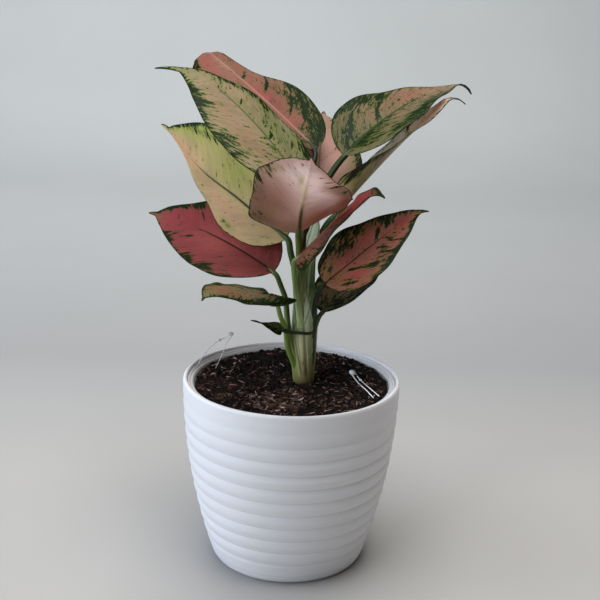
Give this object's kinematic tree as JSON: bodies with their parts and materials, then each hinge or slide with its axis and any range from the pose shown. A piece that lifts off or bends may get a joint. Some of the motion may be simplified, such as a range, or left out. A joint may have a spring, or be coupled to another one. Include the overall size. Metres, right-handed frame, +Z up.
{
  "type": "potted foliage plant",
  "caption": "Potted chinese evergreen: pointed pink and green leaves on a short sheathed stem, in a nursery pot inside a ribbed round pot.",
  "frame": {"origin": "middle of the pot's flat foot, on the surface that it stands on", "axes": "+Z up, along the pot's axis; -Y towards the side that the picture shows; +X to the right as seen from there"},
  "size_m": [0.246, 0.2808, 0.3636],
  "materials": {
    "pot": "satin cool white",
    "nursery_pot": "translucent grey white",
    "soil": "dark crumbly peat with bark chips",
    "stem": "pale green with darker grooves, waxy",
    "leaf_cream": "cream with green speckles and a green margin, waxy",
    "leaf_salmon": "salmon with dark green blotches, waxy",
    "leaf_pale_pink": "pale pink with a thin green margin, waxy",
    "leaf_crimson": "crimson with dark green specks, waxy",
    "leaf_green": "dark green with traces of pink, waxy",
    "nylon": "clear to white"
  },
  "bodies": {
    "root": {"pot": "pot", "nursery_pot": "nursery_pot", "soil": "soil", "stem": "stem", "leaf_upper_left_front": "leaf_cream", "leaf_upper_left_back": "leaf_salmon", "leaf_left": "leaf_cream", "leaf_lower_left": "leaf_crimson", "leaf_low_left_small": "leaf_salmon", "leaf_front": "leaf_pale_pink", "leaf_upper_right": "leaf_salmon", "leaf_right_folded": "leaf_cream", "leaf_centre_young": "leaf_crimson", "leaf_right": "leaf_crimson", "leaf_low_right_back": "leaf_green", "leaf_back": "leaf_pale_pink", "bract": "leaf_green", "loop_pin_lying": "nylon", "loop_pin_standing": "nylon"}
  },
  "joints": []
}
